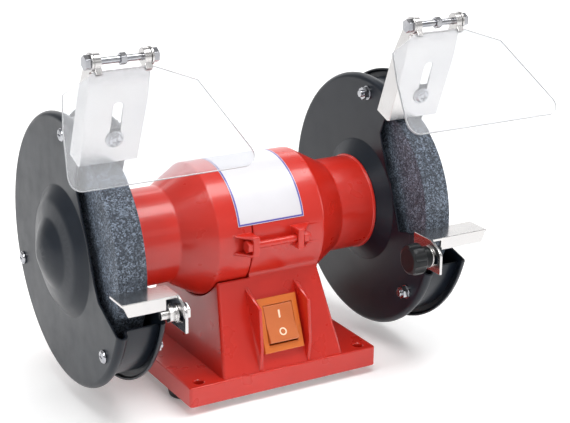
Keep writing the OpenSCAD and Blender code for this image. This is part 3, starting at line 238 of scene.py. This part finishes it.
# Bonded abrasive: bright and dark grains about a millimetre across, with a worn, swirled face
def grit(name, look):
    material, tree, shader = newMaterial(name)
    shader.inputs["Specular IOR Level"].default_value = look["specular"]
    grains = objectPattern(tree, "ShaderNodeTexVoronoi", look["cells"])
    split = tree.nodes.new("ShaderNodeSeparateColor")
    tree.links.new(grains.outputs["Color"], split.inputs["Color"])
    chance = sums(tree, "POWER", split.outputs["Red"], look["rarity"])
    fine = objectPattern(tree, "ShaderNodeTexNoise", look["fineScale"], Detail=look["fineDetail"])
    fineTone = mapped(tree, fine.outputs["Fac"], *look["fineTone"])
    clouds = objectPattern(tree, "ShaderNodeTexNoise", look["cloudScale"],
                           Detail=look["cloudDetail"], Roughness=look["cloudRoughness"],
                           Distortion=look["swirl"])
    cloudTone = mapped(tree, clouds.outputs["Fac"], *look["cloudTone"], *look["cloudRange"])
    shade = sums(tree, "MULTIPLY", sums(tree, "MULTIPLY", chance, fineTone), cloudTone)
    tree.links.new(blended(tree, shade, look["dark"], look["light"]), shader.inputs["Base Color"])
    tree.links.new(mapped(tree, split.outputs["Green"], *look["gloss"], 0, 1),
                   shader.inputs["Roughness"])
    fineHeight = sums(tree, "MULTIPLY", fine.outputs["Fac"], look["fineHeight"])
    lumps = sums(tree, "ADD", split.outputs["Blue"], fineHeight)
    relief(tree, lumps, look["relief"], look["depth"], shader)
    return material


abrasive = grit("abrasive", gritLook)

# The label's place on the housing and its printed line, in millimetres and degrees
labelLook = {
    "middle": -0.5, "half": 25.5, "axisHeight": 108.5, "angle": 58.5, "halfAngle": 43.5,
    "radius": 46.9, "inset": 0.9, "line": 1.2, "ink": (0.1, 0.08, 0.36),
}


# White film with a thin printed line a little inside its edge
def filmWithBorder(name, look):
    material = finish(name, (0.68, 0.67, 0.7), (0.64, 0.63, 0.66), tone=20, grainStrength=0.04,
                      coat=0.3)
    tree = material.node_tree
    split = tree.nodes.new("ShaderNodeSeparateXYZ")
    tree.links.new(tree.nodes["coords"].outputs["Object"], split.inputs["Vector"])
    offset = sums(tree, "SUBTRACT", split.outputs["X"], look["middle"] * mm)
    side = sums(tree, "SUBTRACT", look["half"] * mm, sums(tree, "ABSOLUTE", offset))
    height = sums(tree, "SUBTRACT", split.outputs["Z"], look["axisHeight"] * mm)
    forward = sums(tree, "MULTIPLY", split.outputs["Y"], -1)
    angle = sums(tree, "ARCTAN2", height, forward)
    turn = sums(tree, "ABSOLUTE", sums(tree, "SUBTRACT", angle, math.radians(look["angle"])))
    end = sums(tree, "SUBTRACT", math.radians(look["halfAngle"]), turn)
    edge = sums(tree, "MINIMUM", side, sums(tree, "MULTIPLY", end, look["radius"] * mm))
    near = sums(tree, "ABSOLUTE", sums(tree, "SUBTRACT", edge, look["inset"] * mm))
    line = sums(tree, "LESS_THAN", near, look["line"] / 2 * mm)
    baseColour = tree.nodes["Principled BSDF"].inputs["Base Color"]
    paper = baseColour.links[0].from_socket
    tree.links.new(blended(tree, line, paper, look["ink"]), baseColour)
    return material


labelFilm = filmWithBorder("labelFilm", labelLook)
print("materials made")

# ---- each node's look; a node that isn't listed is zinc-plated
nodeLook = {
    redEnamel: ["base_casting", "left_end_bell", "tie_bolts"],
    blackPaint: ["left_outer_cover", "left_inner_guard", "right_outer_cover",
                 "right_inner_guard"],
    footRubber: ["rubber_feet"],
    blackPlastic: ["cord_gland", "right_rest_knob"],
    amberPlastic: ["switch_bezel"],
    rockerPlastic: ["switch_rocker"],
    whitePlastic: ["capacitor"],
    ivoryPlastic: ["terminal_block"],
    coreSteel: ["stator_core", "rotor_core"],
    copperWire: ["stator_windings"],
    brightSteel: ["rotor_shaft", "left_bearing", "right_bearing", "wave_washer"],
    abrasive: ["left_wheel", "right_wheel"],
    clearPlastic: ["left_eye_shield", "right_eye_shield"],
    labelFilm: ["rating_label"],
    boltZinc: ["left_hinge_bolt", "right_hinge_bolt", "left_hinge_nuts", "right_hinge_nuts",
               "left_guard_screws", "right_guard_screws", "left_guard_nuts",
               "right_guard_nuts", "left_bracket_screw", "right_bracket_screw",
               "left_mount_screws", "right_mount_screws", "foot_screws"],
}
given = {name: look for look, names in nodeLook.items() for name in names}
for name, node in nodes.items():
    node.data.materials.clear()
    node.data.materials.append(given.get(name, zincPlate))
print("looks given")


# ---- pieces with rounded edges
# Edges that turn more than the sharp angle, in degrees, stay sharp in the shading
shadeForm = {"sharp": 38, "faceWeight": 100}


def addPiece(name, shape, look, body, replaced=(), sharp=shadeForm["sharp"]):
    data = bpy.data.meshes.new(name)
    shape.to_mesh(data)
    shape.free()
    data.shade_smooth()
    data.set_sharp_from_angle(angle=math.radians(sharp))
    piece = bpy.data.objects.new(name, data)
    scene.collection.objects.link(piece)
    data.materials.append(look)
    even = piece.modifiers.new("evenShading", "WEIGHTED_NORMAL")
    even.keep_sharp = True
    even.weight = shadeForm["faceWeight"]
    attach(piece, body)
    if replaced:
        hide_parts(*replaced)
    return piece


# Lengths are in millimetres and angles in degrees. An edge that turns more than the angle is
# rounded. On the casting, an inner edge is rounded only if it starts to the right of innerFrom.
edgeForm = {
    "angle": 28, "segments": 3, "widthShares": (1, 0.7, 0.45, 0.25), "innerFrom": 50,
    "volumeShare": 0.05, "growth": 0.01, "merge": 0.01, "flat": 0.4, "edgeFacing": 0.3,
}


def mergedCopy(name):
    shape = bmesh.new()
    shape.from_mesh(nodes[name].data)
    bmesh.ops.remove_doubles(shape, verts=shape.verts, dist=edgeForm["merge"] * mm)
    bmesh.ops.dissolve_limit(shape, angle_limit=math.radians(edgeForm["flat"]),
                             verts=shape.verts, edges=shape.edges)
    return shape


def outerBox(shape):
    places = [vert.co for vert in shape.verts]
    lows = [-min(place[axis] for place in places) for axis in range(3)]
    return lows + [max(place[axis] for place in places) for axis in range(3)]


def isCorner(name, edge):
    if not edge.is_manifold or edge.calc_face_angle(0) <= math.radians(edgeForm["angle"]):
        return False
    starts = edge.verts[0].co.x
    return name != "base_casting" or edge.is_convex or starts > edgeForm["innerFrom"] * mm


# The widest rounding that leaves the shape whole, its volume nearly the same and its box no larger
def rounded(name, width):
    for share in edgeForm["widthShares"]:
        shape = mergedCopy(name)
        volume, box = shape.calc_volume(), outerBox(shape)
        corners = [edge for edge in shape.edges if isCorner(name, edge)]
        bmesh.ops.bevel(shape, geom=corners, offset=width * share * mm, offset_type="OFFSET",
                        affect="EDGES", segments=edgeForm["segments"], profile=0.5, material=-1,
                        clamp_overlap=False, loop_slide=True)
        isWhole = all(edge.is_manifold for edge in shape.edges)
        changed = abs(shape.calc_volume() - volume) / volume
        grown = max(after - before for before, after in zip(box, outerBox(shape)))
        if isWhole and changed < edgeForm["volumeShare"] and grown < edgeForm["growth"] * mm:
            return shape, width * share
        shape.free()
    return mergedCopy(name), 0


softEdge = {
    "base_casting": 1.0, "left_end_bell": 0.9, "tie_bolts": 0.5, "rubber_feet": 0.8,
    "left_outer_cover": 0.6, "left_inner_guard": 0.5, "right_outer_cover": 0.6,
    "right_inner_guard": 0.6, "left_wheel": 0.8, "right_wheel": 0.8, "switch_bezel": 0.6,
    "switch_rocker": 0.5, "left_eye_shield": 0.35, "right_eye_shield": 0.35,
    "left_tool_rest": 0.5, "right_tool_rest": 0.5, "left_shield_bracket": 0.35,
    "right_shield_bracket": 0.35, "right_rest_knob": 0.8, "cord_gland": 0.4,
    "left_arbor_nut": 0.5, "right_arbor_nut": 0.5, "left_rest_bolt": 0.5,
    "right_rest_bolt": 0.4, "left_hinge_bolt": 0.4, "right_hinge_bolt": 0.4,
    "left_shield_clips": 0.3, "right_shield_clips": 0.3, "left_hinge_nuts": 0.3,
    "right_hinge_nuts": 0.3, "left_bracket_screw": 0.3, "right_bracket_screw": 0.3,
    "left_guard_screws": 0.3, "right_guard_screws": 0.3, "left_outer_flange": 0.4,
    "right_outer_flange": 0.4, "left_rest_nut": 0.3, "base_cover_plate": 0.3,
}
for name, width in softEdge.items():
    shape, kept = rounded(name, width)
    first, *rest = name.split("_")
    pieceName = first + "".join(word.capitalize() for word in rest)
    look = given.get(name, zincPlate)
    piece = addPiece(pieceName, shape, look, bodyOf[name], (name,))
    if name.endswith("eye_shield"):
        # The shield's edge faces take the painted shade, a flat grey instead of the clear plastic
        piece.data.materials.append(sawnEdge)
        broad = max(piece.data.polygons, key=lambda face: face.area).normal
        for face in piece.data.polygons:
            facing = abs(face.normal.dot(broad))
            face.material_index = int(facing < edgeForm["edgeFacing"])
    print("rounded", name, round(kept, 2), "mm,", len(piece.data.polygons), "faces")

# ---- plain marks on the two halves of the rocker: a bar and a ring
markForm = {
    "barWidth": 1.3, "barLength": 5.5, "ringRadius": 2.3, "ringWidth": 0.9, "ringSteps": 32,
    "proud": 0.2, "merge": 0.001, "sharp": 30, "frontFacing": 0.5,
}


# A matrix that stands on the face, with X along the shaft, Y upward and Z out of the face
def faceFrame(face):
    across = Vector((1, 0, 0))
    normal = face.normal.copy()
    upward = normal.cross(across)
    if upward.z < 0:
        upward.negate()
    turned = Matrix((across, upward, normal)).transposed().to_4x4()
    return Matrix.Translation(face.calc_center_median()) @ turned


def addMark(name, face, isRing):
    place = faceFrame(face)
    shape = bmesh.new()
    proud = markForm["proud"] * mm
    if isRing:
        outer = (markForm["ringRadius"] + markForm["ringWidth"] / 2) * mm
        inner = outer - markForm["ringWidth"] * mm
        corners = [(inner, 0, -proud), (outer, 0, -proud), (outer, 0, proud), (inner, 0, proud)]
        loop = [shape.verts.new(corner) for corner in corners]
        edges = [shape.edges.new((loop[i], loop[i - 1])) for i in range(len(loop))]
        bmesh.ops.spin(shape, geom=loop + edges, cent=(0, 0, 0), axis=(0, 0, 1),
                       angle=math.tau, steps=markForm["ringSteps"], use_merge=True)
    else:
        size = (markForm["barWidth"] * mm, markForm["barLength"] * mm, 2 * proud)
        bmesh.ops.create_cube(shape, size=1)
        bmesh.ops.scale(shape, verts=shape.verts, vec=size)
    bmesh.ops.remove_doubles(shape, verts=shape.verts, dist=markForm["merge"] * mm)
    bmesh.ops.recalc_face_normals(shape, faces=shape.faces)
    bmesh.ops.transform(shape, matrix=place, verts=shape.verts)
    addPiece(name, shape, paleMark, "rocker", sharp=markForm["sharp"])


rocker = mergedCopy("switch_rocker")
forward = [face for face in rocker.faces if face.normal.y < -markForm["frontFacing"]]
halves = sorted(forward, key=lambda face: -face.calc_area())[:2]
upper, lower = sorted(halves, key=lambda face: -face.calc_center_median().z)
addMark("rockerBar", upper, False)
addMark("rockerRing", lower, True)
rocker.free()
print("rocker marked")

# ---- concave fillets where the motor housing grows out of the pedestal
# Left and right are places along the shaft. The points are distances in front of or behind the
# shaft, with heights. The curve runs from low to high and is drawn towards the corner.
filletForm = {
    "left": -14.9, "right": 39.2, "low": (40.22, 79.7), "corner": (38.95, 82.9),
    "high": (40.2, 84.9), "inside": (34.0, 82.0), "steps": 8, "sharp": 40,
}


def addFillet(name, side):
    shape = bmesh.new()
    low, corner, high = (Vector(filletForm[key]) for key in ("low", "corner", "high"))
    outline = []
    for step in range(filletForm["steps"] + 1):
        t = step / filletForm["steps"]
        outline.append(low * (1 - t) ** 2 + corner * 2 * t * (1 - t) + high * t ** 2)
    outline.append(Vector(filletForm["inside"]))
    left, right = filletForm["left"] * mm, filletForm["right"] * mm
    verts = [shape.verts.new((left, point.x * side * mm, point.y * mm)) for point in outline]
    grown = bmesh.ops.extrude_face_region(shape, geom=[shape.faces.new(verts)])
    moved = [item for item in grown["geom"] if isinstance(item, bmesh.types.BMVert)]
    bmesh.ops.translate(shape, verts=moved, vec=(right - left, 0, 0))
    bmesh.ops.recalc_face_normals(shape, faces=shape.faces)
    addPiece(name, shape, redEnamel, "base", sharp=filletForm["sharp"])


addFillet("frontFillet", -1)
addFillet("backFillet", 1)
print("fillets made")

# ---- floor, which glows a little, so that shadows stay pale
floorForm = {"halfWidth": 6, "glow": 0.18}

floorMesh = bmesh.new()
bmesh.ops.create_grid(floorMesh, x_segments=1, y_segments=1, size=floorForm["halfWidth"])
floorData = bpy.data.meshes.new("floor")
floorMesh.to_mesh(floorData)
floorMesh.free()
floor = bpy.data.objects.new("floor", floorData)
scene.collection.objects.link(floor)
floorPaper = finish("floorPaper", (0.93, 0.93, 0.93), (0.91, 0.91, 0.91), gloss=(0.8, 0.9),
                    tone=3, grain=200, grainStrength=0.02)
setInputs(floorPaper.node_tree.nodes["Principled BSDF"],
          {"Emission Color": (1, 1, 1, 1), "Emission Strength": floorForm["glow"]})
floor.data.materials.append(floorPaper)
print("floor laid")

bpy.context.view_layer.update()
